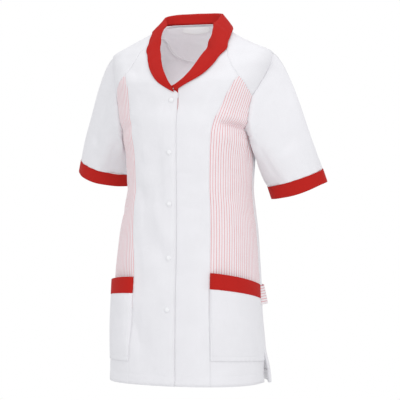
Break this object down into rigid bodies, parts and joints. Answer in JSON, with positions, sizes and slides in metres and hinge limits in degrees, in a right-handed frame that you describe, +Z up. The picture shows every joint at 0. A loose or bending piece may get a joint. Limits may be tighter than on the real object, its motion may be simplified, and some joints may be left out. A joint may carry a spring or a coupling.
{
  "type": "snap-front work tunic",
  "caption": "Short-sleeved snap-front work tunic, filled out as worn: shawl collar, striped side fronts, banded patch pockets and cuffs, back half belt.",
  "frame": {"origin": "middle of the neck opening, level with the shoulders, where the wearer holds the tunic up", "axes": "+Z up along the length; the front faces -Y; the wearer's left side is +X"},
  "size_m": [0.5644, 0.2656, 0.7827],
  "materials": {
    "white_twill": "matte",
    "red_twill": "matte",
    "striped_poplin": "matte",
    "label_tape": "matte",
    "snap_resin": "gloss"
  },
  "bodies": {
    "root": {"back": "white_twill", "back_belt": "striped_poplin", "back_neck_facing": "white_twill", "collar": "red_twill", "cuff_left": "red_twill", "cuff_right": "red_twill", "front_left": "white_twill", "front_right": "white_twill", "lower_side_left": "white_twill", "lower_side_right": "white_twill", "neck_label": "label_tape", "pocket_band_left": "red_twill", "pocket_band_right": "red_twill", "pocket_left": "white_twill", "pocket_right": "white_twill", "side_front_left": "striped_poplin", "side_front_right": "striped_poplin", "sleeve_left": "white_twill", "sleeve_right": "white_twill", "snap_cap_1": "snap_resin", "snap_cap_2": "snap_resin", "snap_cap_3": "snap_resin", "snap_cap_4": "snap_resin", "snap_cap_5": "snap_resin", "yoke_left": "white_twill", "yoke_right": "white_twill"}
  },
  "joints": []
}
